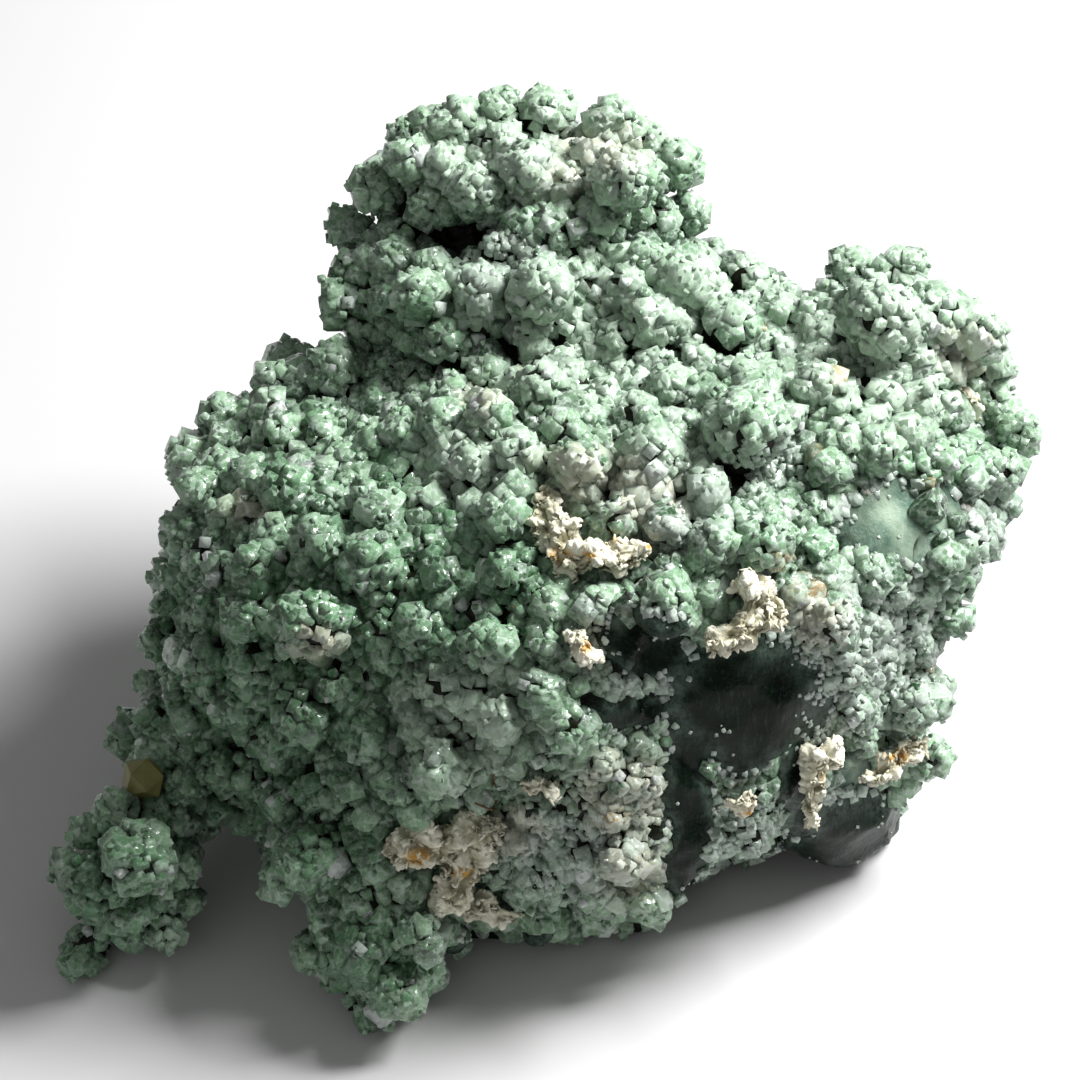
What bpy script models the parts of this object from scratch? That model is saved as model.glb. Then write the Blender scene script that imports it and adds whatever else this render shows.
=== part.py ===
"""Green fluorite cluster.

A boulder of massive green fluorite, overgrown on its top, left and back by a druse of
nodules, each a grown-together bunch of cubes and cuboctahedra. The front is partly broken
away to bare glass. Flaky white crusts and one yellow crystal sit on it. Units are metres,
+Z is up, and the origin is on the flat broken base, under the middle of the specimen.
"""
import math
import random

import bmesh
import bpy
from mathutils import Euler, Matrix, Vector
from mathutils.bvhtree import BVHTree

MM = 0.001
SEED = 20

# The display side is seen from the front, tilted down. Places on it are given in mm as
# (across, up) on a plane through DISPLAY_CENTRE that faces the viewer's eye.
DISPLAY_CENTRE = Vector((0.0, -5.0, 63.0)) * MM
DISPLAY_TILT = math.radians(45)
EYE_DISTANCE = 800 * MM
RIGHT = Vector((1, 0, 0))
UPWARD = Vector((0, math.sin(DISPLAY_TILT), math.cos(DISPLAY_TILT)))
TOWARD = Vector((0, -math.cos(DISPLAY_TILT), math.sin(DISPLAY_TILT)))
EYE = DISPLAY_CENTRE + TOWARD * EYE_DISTANCE

# Lobes of the boulder: centre (x, y, z) and radii (x, y, z), mm
LOBES = {
    "body": ((8, -4, 48), (58, 48, 40)),
    "left flank": ((-37, -6, 46), (30, 34, 33)),
    "left shoulder": ((-40, 22, 59), (22, 17, 15)),
    "left low flank": ((-58, -15, 33), (11, 18, 18)),
    "right flank": ((48, 10, 58), (32, 32, 28)),
    "right low flank": ((65, -9, 36), (8, 12, 14)),
    "saddle": ((41, 38, 73), (14, 9, 8)),
    "ridge": ((16, -24, 60), (42, 25, 24)),
    "front": ((10, -31, 32), (46, 24, 23)),
    "front left": ((-26, -28, 30), (26, 26, 25)),
    "front right": ((50, -16, 28), (20, 24, 23)),
    "top": ((14, 27, 66), (48, 25, 18)),
    "back": ((8, 24, 40), (54, 30, 37)),
    "base": ((6, -4, 16), (50, 42, 28)),
    "base front": ((-10, -26, 14), (36, 26, 24)),
    "head": ((-5, 57, 98), (26, 12, 8.5)),
    "head right": ((13, 54, 97), (9, 11, 9)),
    "left neck": ((-17, 45, 80), (21, 17, 14)),
    "right neck": ((18, 47, 82), (13, 13, 11)),
    "neck core": ((2, 46, 78), (22, 20, 22)),
    "horn": ((66, 31, 79), (14, 12, 12)),
    "horn root": ((60, 24, 66), (20, 20, 16)),
    "right edge": ((78, 22, 58), (7, 12, 12)),
    "left foot": ((-74, -43, 14), (11, 12, 13)),
    "foot root": ((-66, -26, 25), (11, 15, 11)),
    "toe": ((-32, -58, 11), (9, 10, 10)),
    "toe tip": ((-23, -63, 6), (5, 5, 5)),
    "toe root": ((-24, -48, 20), (13, 14, 14)),
    "broken block": ((57, -24, 13), (13, 15, 14)),
}
VOXEL = 2.5 * MM
BLEND_STEPS = 10
ROCK_SWELL = 3.0 * MM
ROCK_SWELL_SIZE = 0.022
CORE_TRIANGLES = 420

# Hollows in the display side: place (across, up), depth in front of the plane, radii, mm
HOLLOWS = {
    "cave under the head": ((-14.5, 55.5), (9, 5.5, 16)),
    "cave under the horn": ((69, 28.5), (5, 3, 9)),
    "hollow on the left": ((-63, -10.5), (3.5, 5, 8)),
    "recess on the left": ((-23.5, 11), (5, 3, 8)),
    "gap beside the foot": ((-61, -53), (6, 7, 18)),
}

# Broken faces: a point of the face (x, y, z), its outward direction, and the width and
# height of the slab of stone that is gone, mm
BROKEN = {
    "bare front": ((36, -48, 45), (0.16, -0.93, 0.33), 46, 70),
    "block front": ((63, -33, 16), (0.5, -0.85, 0.1), 44, 34),
    "block right": ((69, -20, 12), (0.98, -0.1, 0.1), 40, 34),
    "low back": ((0, 45, 26), (-0.1, 0.94, -0.33), 110, 60),
    "back right": ((53, 36, 36), (0.6, 0.75, -0.15), 60, 60),
}

# Nodules that stand out, in mm: (across, up, radius)
NODULES = {
    "head": (
        (-31, 64, 3), (-17, 67, 4), (-12, 63, 4.5), (-9, 75, 4), (1, 76, 5), (-3, 67, 4.7),
        (4, 65, 3.6), (15, 65, 5.8), (20, 67, 5), (13, 72, 4), (10, 58, 3.3), (25, 56, 3.4),
        (31, 51, 3),
    ),
    "neck": (
        (-34, 55, 4), (-25, 55, 3.2), (-34, 49, 3.4), (-34, 43, 4), (-27, 43, 3), (-22, 44, 5),
        (-11, 45, 5), (0, 45, 6), (6, 47, 3.5), (15, 46, 3.5), (18, 50, 4.5), (25, 47, 5.4),
    ),
    "upper slope": (
        (-11, 38, 4.5), (-17, 35, 4.5), (-2, 37, 4), (-27, 31, 3.3), (-10, 30, 4), (0, 27, 5),
        (6, 28, 3.3), (-9, 22, 4.5), (4, 19, 4), (11, 25, 3), (14, 36, 3.4), (20, 39, 5.4),
        (23, 27, 4.5), (17, 22, 4), (36, 45, 4.5), (44, 46, 3.3), (34, 38, 5.4), (28, 32, 3.5),
        (37, 20, 8), (26, 20, 3.3), (30, 9, 4.5), (44, 5, 2.8), (35, 2, 4), (40, -1, 5.4),
        (31, -1, 4.5), (23, 2, 3.6), (52, 13, 3.6), (54, 18, 3.6), (61, 16, 4), (68, 24, 3.6),
        (61, 25, 3.5),
    ),
    "horn and right edge": (
        (52, 44, 3), (56, 48, 3.8), (61, 49, 3.2), (66, 48, 3.4), (62, 39, 7), (71, 40, 6),
        (76, 39, 5), (80, 13, 3.6), (83, 6, 3.6), (81, 0, 3), (76, -1, 4.5), (66, -14, 3.6),
        (75, -15, 3), (53, -15, 4.5), (61, -22, 3.3), (73, -26, 3), (67, -30, 5), (56, -31, 3.6),
    ),
    "left shoulder": (
        (-57, 22, 3.6), (-48, 28, 3.3), (-37, 30, 5), (-39, 22, 3.6), (-47, 19, 4), (-29, 25, 3),
        (-22, 25, 3), (-24, 19, 3.6), (-31, 19, 3), (-41, 14, 3), (-35, 13, 3), (-52, 10, 3.3),
        (-57, 4, 3.3), (-40, 0, 4.5), (-48, 1, 3.6), (-28, 4, 4), (-21, 5, 4), (-31, -4, 5.4),
        (-41, -6, 3), (-51, -5, 4.5), (-28, -11, 3.6), (-52, -14, 4), (-41, -15, 6.3),
        (-22, -14, 3.6),
    ),
    "middle": (
        (-12, 13, 4), (-4, 15, 4.5), (-4, 9, 4), (-7, 4, 4.5), (7, 13, 5), (20, 15, 5.8),
        (18, 8, 5.4), (13, 4, 4), (-7, -6, 4), (-18, -6, 3), (-23, -8, 3), (-16, -12, 3.3),
        (-21, -16, 4.5), (-11, -13, 3.3), (-10, -19, 4.5), (0, -11, 3.3), (0, -18, 3),
        (-29, -16, 3), (-26, -20, 4), (-18, -26, 4), (-13, -27, 3.3), (0, -27, 3.8),
    ),
    "left flank": (
        (-68, -18, 3.4), (-62, -15, 3.4), (-68, -11, 3), (-69, -27, 3), (-60, -22, 4),
        (-54, -30, 4), (-51, -34, 4), (-45, -27, 3.4), (-43, -32, 4.5), (-57, -41, 4.3),
        (-64, -44, 3.3), (-50, -43, 3.3), (-46, -47, 4), (-53, -48, 3), (-63, -33, 3),
        (-74, -36, 3.4), (-36, -26, 3.3), (-31, -30, 3.3), (-35, -32, 3),
    ),
    "lower slope": (
        (-21, -34, 4.5), (-7, -32, 3.6), (-31, -36, 4), (-28, -40, 3.3), (-18, -41, 5.4),
        (-25, -44, 4), (-34, -43, 3.2), (-6, -39, 3), (5, -33, 4.5), (0, -37, 3.6),
        (-11, -45, 3), (-22, -48, 3.3), (-2, -48, 3.2), (3, -49, 3), (13, -49, 3.3),
        (19, -44, 3), (15, -43, 3), (11, -40, 3), (15, -57, 4.5), (-4, -55, 3), (22, -66, 3),
        (-41, -57, 6.3), (-46, -55, 3), (-40, -61, 3.6), (-39, -52, 3.4), (-31, -56, 3.4),
        (-50, -62, 3.6), (-38, -67, 3), (-32, -65, 3),
    ),
    "toe": (
        (-40, -74, 3.3), (-33, -74, 4), (-28, -73, 3), (-25, -75, 3), (-30, -78, 3),
        (-26, -81, 5), (-22, -77, 3.4), (-29, -83, 3), (-23, -86, 3),
    ),
    "left foot": (
        (-82, -53, 3.3), (-81, -62, 5), (-72, -57, 6.3), (-70, -52, 3), (-81, -72, 3),
        (-74, -71, 3), (-86, -60, 2.6), (-76, -49, 4.5), (-78, -45, 3), (-76, -62, 3.3),
        (-68, -63, 3.3), (-75, -67, 3.6), (-65, -58, 3.3), (-64, -65, 3),
    ),
}
NODULE_STANDS = 0.2

# Where the stone is bare of nodules: place (across, up), reach (across, up), mm
BARE = {
    "front glass": ((37, -40), (20, 27)),
    "front left glass": ((20, -25), (9, 13)),
    "block glass": ((61, -54), (15, 13)),
    "window": ((66, 4), (10, 6)),
    "lip": ((5, -70), (26, 8)),
    "gap beside the foot": ((-61, -54), (8, 8)),
}

NAMED_SPACING = 0.9
FILL_RADIUS = (4.4, 5.8)
FILL_SPACING = 1.12
BACK_RADIUS = (5.4, 6.8)
BACK_SPACING = 1.45
FILL_TRIES = 12000
BASE_KEEP_OFF = 9 * MM
BACK_GROWTH_FLOOR = 40 * MM
BACK_GROWTH_SIDE = -30 * MM
FLOOR_GAP = 0.4 * MM
BIG_NODULE = 5.3 * MM
CORNER_REACH = 1.28

# White crusts: blobs (across, up, reach across, reach up), mm
CRUSTS = {
    "white_crust_ridge": ((1, 4.5, 4, 6), (6, -3.5, 5, 4), (14, -3, 6, 4)),
    "white_crust_fleck": ((6.5, -18, 3, 2.6), (9, -21, 2.5, 2)),
    "white_crust_knob": ((37, -8, 4, 3.2), (41, -14, 5, 4), (32, -18, 4, 3.6)),
    "white_crust_small": ((0, -44, 4, 2.8),),
    "white_crust_lower": (
        (-24, -55, 5, 5), (-16, -54, 6, 5), (-10, -52, 5, 4), (-16, -63, 4.5, 5),
        (-8, -67, 6, 2.6),
    ),
    "white_crust_front": ((36, -47, 4, 2.6),),
    "white_crust_corner": ((50, -39, 4.2, 3.6), (48.5, -47, 2.2, 5)),
    "white_crust_right": ((66, -37, 4.5, 3), (60, -42, 4.5, 2.2)),
    "white_crust_edge": ((76, 25, 2.4, 5),),
}
CRUST_THICKNESS = 3.4
CRUST_STANDS = 1.6 * MM
CRUST_VOXEL = 0.9 * MM
CRUST_FLAKE = 1.6 * MM
CRUST_FLAKE_SIZE = 0.003
CRUST_TRIANGLES = 54
YELLOW_CRYSTAL = (-71.5, -43, 3.4)
PIECE_GAP = 0.4 * MM
FLUORITE_IOR = 1.434


def sight_point(across, up, out=0.0):
    """Point on the sight line through (across, up), out mm in front of the plane."""
    nearer = 1 - out * MM / EYE_DISTANCE
    return DISPLAY_CENTRE + (RIGHT * across + UPWARD * up) * MM * nearer + TOWARD * out * MM


def display_place(point):
    """The (across, up) in mm at which the viewer sees a point."""
    offset = point - DISPLAY_CENTRE
    nearer = 1 - offset.dot(TOWARD) / EYE_DISTANCE
    return offset.dot(RIGHT) / nearer / MM, offset.dot(UPWARD) / nearer / MM


def clear_scene():
    for obj in list(bpy.data.objects):
        bpy.data.objects.remove(obj, do_unlink=True)


def new_collection(name):
    collection = bpy.data.collections.new(name)
    bpy.context.scene.collection.children.link(collection)
    return collection


def new_object(name, bm, collection):
    mesh = bpy.data.meshes.new(name)
    bm.to_mesh(mesh)
    bm.free()
    obj = bpy.data.objects.new(name, mesh)
    collection.objects.link(obj)
    return obj


def settled_mesh(obj):
    """The object's mesh with its modifiers applied, as a new mesh."""
    depsgraph = bpy.context.evaluated_depsgraph_get()
    return bpy.data.meshes.new_from_object(obj.evaluated_get(depsgraph))


def settle(obj):
    """Apply an object's modifiers to its own mesh."""
    mesh = settled_mesh(obj)
    obj.modifiers.clear()
    obj.data = mesh


def as_cutter(obj):
    obj.hide_render = True
    obj.display_type = "WIRE"


def add_ellipsoid(bm, centre, radii, detail=4, turn=None):
    turn = turn or Matrix.Identity(4)
    stretch = Matrix.Diagonal((*radii, 1.0))
    place = Matrix.Translation(centre) @ turn @ stretch
    bmesh.ops.create_icosphere(bm, subdivisions=detail, radius=1.0, matrix=place)


def rock_core(collection):
    """The boulder's lobes, melted into one lumpy body."""
    bm = bmesh.new()
    for centre, radii in LOBES.values():
        add_ellipsoid(bm, Vector(centre) * MM, Vector(radii) * MM)
    core = new_object("fluorite_cluster", bm, collection)
    skin = core.modifiers.new("skin", "REMESH")
    skin.mode = "VOXEL"
    skin.voxel_size = VOXEL
    melt = core.modifiers.new("melt", "SMOOTH")
    melt.iterations = BLEND_STEPS
    melt.factor = 0.5
    swell = bpy.data.textures.new("rock swell", "CLOUDS")
    swell.noise_scale = ROCK_SWELL_SIZE
    swell.noise_depth = 2
    lumps = core.modifiers.new("lumps", "DISPLACE")
    lumps.texture = swell
    lumps.strength = ROCK_SWELL
    lumps.mid_level = 0.5
    settle(core)
    faces = sum(len(p.vertices) - 2 for p in core.data.polygons)
    thin = core.modifiers.new("thin", "DECIMATE")
    thin.ratio = CORE_TRIANGLES / faces
    settle(core)
    return core


def base_cutter(collection):
    """A block under the floor plane, which leaves the flat broken base."""
    bm = bmesh.new()
    size = 300 * MM
    place = Matrix.Translation((0, 0, -size / 2))
    bmesh.ops.create_cube(bm, size=size, matrix=place)
    cutter = new_object("base_cutter", bm, collection)
    as_cutter(cutter)
    return cutter


def broken_cutter(name, point, outward, width, height, collection):
    """A slab outside a broken face."""
    depth = 60 * MM
    outward = Vector(outward).normalized()
    turn = outward.to_track_quat("Z", "Y").to_matrix().to_4x4()
    centre = Vector(point) * MM + outward * depth / 2
    size = Matrix.Diagonal((width * MM, height * MM, depth, 1.0))
    bm = bmesh.new()
    bmesh.ops.create_cube(bm, size=1.0, matrix=Matrix.Translation(centre) @ turn @ size)
    cutter = new_object(name.replace(" ", "_") + "_cutter", bm, collection)
    as_cutter(cutter)
    return cutter


def sight_hit(tree, across, up):
    """Where the viewer's sight line meets the stone, or passes nearest, and the normal."""
    aim = (sight_point(across, up) - EYE).normalized()
    point, normal, _, _ = tree.ray_cast(EYE, aim)
    if point is None:
        passes = [tree.find_nearest(sight_point(across, up, out)) for out in range(-70, 60, 4)]
        point, normal, _, _ = min(passes, key=lambda near: near[3])
    return point, normal


def hollow_cutter(name, place, radii, tree, collection):
    point, _ = sight_hit(tree, *place)
    turn = TOWARD.to_track_quat("Z", "Y").to_matrix().to_4x4()
    bm = bmesh.new()
    add_ellipsoid(bm, point, Vector(radii) * MM, detail=2, turn=turn)
    cutter = new_object(name.replace(" ", "_") + "_cutter", bm, collection)
    as_cutter(cutter)
    return cutter


def cut(obj, cutter):
    trim = obj.modifiers.new(cutter.name, "BOOLEAN")
    trim.operation = "DIFFERENCE"
    trim.object = cutter
    trim.solver = "EXACT"


def is_bare(point, normal):
    """Whether the druse leaves the stone bare here."""
    if point.z < BASE_KEEP_OFF and normal.z < 0.2:
        return True
    faces_viewer = normal.dot(TOWARD) > 0
    if not faces_viewer:
        return point.z < BACK_GROWTH_FLOOR and point.x > BACK_GROWTH_SIDE
    across, up = display_place(point)
    for (mid_x, mid_y), (reach_x, reach_y) in BARE.values():
        if ((across - mid_x) / reach_x) ** 2 + ((up - mid_y) / reach_y) ** 2 < 1:
            return True
    return False


def standing(point, normal, radius):
    """A nodule's centre, so that it stands out of the stone and clear of the floor."""
    centre = point + normal * radius * NODULE_STANDS
    centre.z = max(centre.z, radius * CORNER_REACH + FLOOR_GAP)
    return centre


def is_clear(place, radius, spacing, nodules):
    return all((place - other).length > spacing * (radius + r) for other, r in nodules)


def crust_places(tree):
    """Where the white crusts lie, which keeps nodules off them."""
    places = []
    for blobs in CRUSTS.values():
        for across, up, reach_across, reach_up in blobs:
            point, normal = sight_hit(tree, across, up)
            places.append((point + normal * CRUST_STANDS, min(reach_across, reach_up) * MM))
    return places


def named_nodules(tree, taken):
    """The nodules that stand out, on the stone behind their places, the big ones first."""
    listed = [nodule for group in NODULES.values() for nodule in group]
    listed.sort(key=lambda nodule: -nodule[2])
    found = []
    for across, up, size in listed:
        point, normal = sight_hit(tree, across, up)
        radius = size * MM
        place = standing(point, normal, radius)
        if is_clear(place, radius, NAMED_SPACING, found + taken):
            found.append((place, radius))
    return found


def fill_nodules(core, taken, rng):
    """Nodules over the rest of the stone, none too close to another."""
    mesh = core.data
    mesh.calc_loop_triangles()
    triangles = [t for t in mesh.loop_triangles if t.area > 0]
    areas = [t.area for t in triangles]
    added = []
    for triangle in rng.choices(triangles, weights=areas, k=FILL_TRIES):
        a, b, c = (mesh.vertices[i].co for i in triangle.vertices)
        s, t = sorted((rng.random(), rng.random()))
        point = a * s + b * (t - s) + c * (1 - t)
        normal = triangle.normal.copy()
        front = normal.dot(TOWARD) > -0.15
        radius = rng.uniform(*(FILL_RADIUS if front else BACK_RADIUS)) * MM
        spacing = FILL_SPACING if front else BACK_SPACING
        if is_bare(point, normal) or point.z < radius:
            continue
        place = standing(point, normal, radius)
        if is_clear(place, radius, spacing, taken + added):
            added.append((place, radius))
    return added


def add_cube(bm, centre, radius, turn):
    """A cube crystal whose corners reach to the radius."""
    size = 2 * radius / math.sqrt(3)
    place = Matrix.Translation(centre) @ turn.to_matrix().to_4x4()
    bmesh.ops.create_cube(bm, size=size, matrix=place)


def add_cuboctahedron(bm, centre, radius, turn):
    """A crystal halfway between a cube and an octahedron."""
    place = Matrix.Translation(centre) @ turn.to_matrix().to_4x4()
    step = radius / math.sqrt(2)
    corners = []
    for a in (-step, step):
        for b in (-step, step):
            for corner in ((a, b, 0), (a, 0, b), (0, a, b)):
                corners.append(bm.verts.new(place @ Vector(corner)))
    bmesh.ops.convex_hull(bm, input=corners)


def druse(nodules, rng, collection):
    """Every nodule as one crystal, all in one guide object."""
    bm = bmesh.new()
    for centre, radius in nodules:
        turn = Euler([rng.uniform(0, math.tau) for _ in range(3)])
        grow = add_cuboctahedron if radius >= BIG_NODULE else add_cube
        grow(bm, centre, radius * CORNER_REACH, turn)
    growth = new_object("druse", bm, collection)
    as_cutter(growth)
    return growth


def join_druse(core, growth):
    join = core.modifiers.new("druse", "BOOLEAN")
    join.operation = "UNION"
    join.object = growth
    join.solver = "EXACT"
    join.use_self = True
    settle(core)


def keep_main_body(obj):
    """Drop the loose chips and closed bubbles that the booleans leave."""
    bm = bmesh.new()
    bm.from_mesh(obj.data)
    left = set(bm.verts)
    bodies = []
    while left:
        stack = [left.pop()]
        body = []
        while stack:
            vert = stack.pop()
            body.append(vert)
            for edge in vert.link_edges:
                other = edge.other_vert(vert)
                if other in left:
                    left.remove(other)
                    stack.append(other)
        bodies.append(body)
    bodies.sort(key=len)
    for body in bodies[:-1]:
        bmesh.ops.delete(bm, geom=body, context="VERTS")
    bmesh.ops.triangulate(bm, faces=bm.faces[:])
    bm.to_mesh(obj.data)
    bm.free()


def crust(name, blobs, tree, collection):
    """A flaky white crust of flattened blobs, melted together on the druse."""
    bm = bmesh.new()
    bridges = [[(a + b) / 2 for a, b in zip(*pair)] for pair in zip(blobs, blobs[1:])]
    for across, up, reach_across, reach_up in (*blobs, *bridges):
        point, normal = sight_hit(tree, across, up)
        lean = (normal + TOWARD * 2).normalized()
        turn = lean.to_track_quat("Z", "Y").to_matrix().to_4x4()
        radii = Vector((reach_across, reach_up, CRUST_THICKNESS)) * MM
        add_ellipsoid(bm, point + lean * CRUST_STANDS, radii, detail=3, turn=turn)
    piece = new_object(name, bm, collection)
    skin = piece.modifiers.new("skin", "REMESH")
    skin.mode = "VOXEL"
    skin.voxel_size = CRUST_VOXEL
    flake = bpy.data.textures.new(name + " flakes", "CLOUDS")
    flake.noise_scale = CRUST_FLAKE_SIZE
    flakes = piece.modifiers.new("flakes", "DISPLACE")
    flakes.texture = flake
    flakes.texture_coords = "GLOBAL"
    flakes.strength = CRUST_FLAKE
    settle(piece)
    faces = sum(len(p.vertices) - 2 for p in piece.data.polygons)
    thin = piece.modifiers.new("thin", "DECIMATE")
    thin.ratio = CRUST_TRIANGLES * len(blobs) / faces
    settle(piece)
    keep_main_body(piece)
    return piece


def yellow_crystal(tree, collection):
    """The one honey-coloured crystal on the left."""
    across, up, radius = YELLOW_CRYSTAL
    point, _ = sight_hit(tree, across, up)
    bm = bmesh.new()
    place = point + TOWARD * radius * MM / 2
    add_cuboctahedron(bm, place, radius * MM * CORNER_REACH, Euler((0.5, 0.3, 0.2)))
    bmesh.ops.recalc_face_normals(bm, faces=bm.faces[:])
    return new_object("yellow_crystal", bm, collection)


def pocket(piece, collection):
    """A copy of a piece, larger by the gap that touching pieces keep."""
    cutter = bpy.data.objects.new(piece.name + "_pocket", piece.data.copy())
    collection.objects.link(cutter)
    grow = cutter.modifiers.new("gap", "DISPLACE")
    grow.strength = PIECE_GAP
    grow.mid_level = 0.0
    as_cutter(cutter)
    return cutter


def material(name, colour, roughness, see_through=0.0):
    """A plain surface in sRGB colour."""
    surface = bpy.data.materials.new(name)
    surface.use_nodes = True
    shader = surface.node_tree.nodes["Principled BSDF"]
    linear = [((c + 0.055) / 1.055) ** 2.4 if c > 0.04 else c / 12.92 for c in colour]
    shader.inputs["Base Color"].default_value = (*linear, 1.0)
    shader.inputs["Roughness"].default_value = roughness
    shader.inputs["Transmission Weight"].default_value = see_through
    shader.inputs["IOR"].default_value = FLUORITE_IOR
    return surface


def dress(obj, surface):
    obj.data.materials.clear()
    obj.data.materials.append(surface)
    for face in obj.data.polygons:
        face.material_index = 0


def stone_tree(obj):
    """A search tree over an object's faces, for sight lines."""
    mesh = obj.data
    return BVHTree.FromPolygons(
        [v.co for v in mesh.vertices], [p.vertices for p in mesh.polygons]
    )


def main():
    clear_scene()
    rng = random.Random(SEED)
    cluster = new_collection("green_fluorite_cluster")
    cutters = new_collection("cutters")

    core = rock_core(cluster)
    tree = stone_tree(core)
    for name, (place, radii) in HOLLOWS.items():
        cut(core, hollow_cutter(name, place, radii, tree, cutters))
    for name, (point, outward, width, height) in BROKEN.items():
        cut(core, broken_cutter(name, point, outward, width, height, cutters))
    cut(core, base_cutter(cutters))
    settle(core)

    tree = stone_tree(core)
    taken = crust_places(tree)
    nodules = named_nodules(tree, taken)
    nodules += fill_nodules(core, nodules + taken, rng)
    join_druse(core, druse(nodules, rng, cutters))

    pieces = [crust(name, blobs, tree, cluster) for name, blobs in CRUSTS.items()]
    pieces.append(yellow_crystal(tree, cluster))
    for piece in pieces:
        cut(core, pocket(piece, cutters))
    settle(core)
    keep_main_body(core)

    dress(core, material("green_fluorite", (0.50, 0.65, 0.55), 0.25))
    white = material("white_crust", (0.90, 0.88, 0.80), 0.9)
    for piece in pieces[:-1]:
        dress(piece, white)
    dress(pieces[-1], material("yellow_fluorite", (0.62, 0.60, 0.38), 0.2, 0.3))


if __name__ == "__main__":
    main()
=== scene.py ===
"""Green fluorite cluster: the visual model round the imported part.

The part's solid is melted to a smooth rock. Nodules grow on it, and thousands of small cube
crystals cover them. White crusts, bare glass and a few plant fibres follow the display side.
"""
import math
import random

import bmesh
import bpy
import numpy as np
from mathutils import Euler, Matrix, Vector, kdtree, noise
from mathutils.bvhtree import BVHTree


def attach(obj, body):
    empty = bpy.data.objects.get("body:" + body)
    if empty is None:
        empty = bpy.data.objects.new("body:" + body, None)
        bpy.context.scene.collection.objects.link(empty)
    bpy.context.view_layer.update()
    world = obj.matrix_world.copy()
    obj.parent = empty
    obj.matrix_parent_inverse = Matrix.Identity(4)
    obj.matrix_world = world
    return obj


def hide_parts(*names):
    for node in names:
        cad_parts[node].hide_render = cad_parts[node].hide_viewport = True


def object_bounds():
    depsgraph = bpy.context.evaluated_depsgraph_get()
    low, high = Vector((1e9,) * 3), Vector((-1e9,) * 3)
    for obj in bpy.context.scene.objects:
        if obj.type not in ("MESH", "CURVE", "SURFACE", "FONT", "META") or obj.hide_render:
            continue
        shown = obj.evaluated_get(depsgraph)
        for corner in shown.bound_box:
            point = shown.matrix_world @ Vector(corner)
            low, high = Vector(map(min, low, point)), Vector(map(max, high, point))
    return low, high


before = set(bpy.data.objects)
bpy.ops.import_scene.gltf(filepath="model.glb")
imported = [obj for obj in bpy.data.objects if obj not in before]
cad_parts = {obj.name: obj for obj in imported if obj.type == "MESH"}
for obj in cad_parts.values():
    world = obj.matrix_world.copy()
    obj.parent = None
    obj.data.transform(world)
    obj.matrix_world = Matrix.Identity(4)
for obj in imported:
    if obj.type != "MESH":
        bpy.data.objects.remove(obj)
CAD_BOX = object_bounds()

MM = 0.001
SEED = 7

# The display side is seen from the front, tilted down. Places on it are given in mm as
# (across, up) on a plane through DISPLAY_CENTRE that faces the viewer's eye.
DISPLAY_CENTRE = Vector((0.0, -5.0, 63.0)) * MM
DISPLAY_TILT = math.radians(45)
EYE_DISTANCE = 800 * MM
RIGHT = Vector((1, 0, 0))
UPWARD = Vector((0, math.sin(DISPLAY_TILT), math.cos(DISPLAY_TILT)))
TOWARD = Vector((0, -math.cos(DISPLAY_TILT), math.sin(DISPLAY_TILT)))
EYE = DISPLAY_CENTRE + TOWARD * EYE_DISTANCE
VIEW_WIDTH = 194.6 * MM
SENSOR = 36.0

ROCK_VOXEL = 2.2 * MM
ROCK_STEPS = 12
ROCK_INSET = 2.8 * MM
SKIN_VOXEL = 1.2 * MM
SKIN_STEPS = 2

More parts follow.
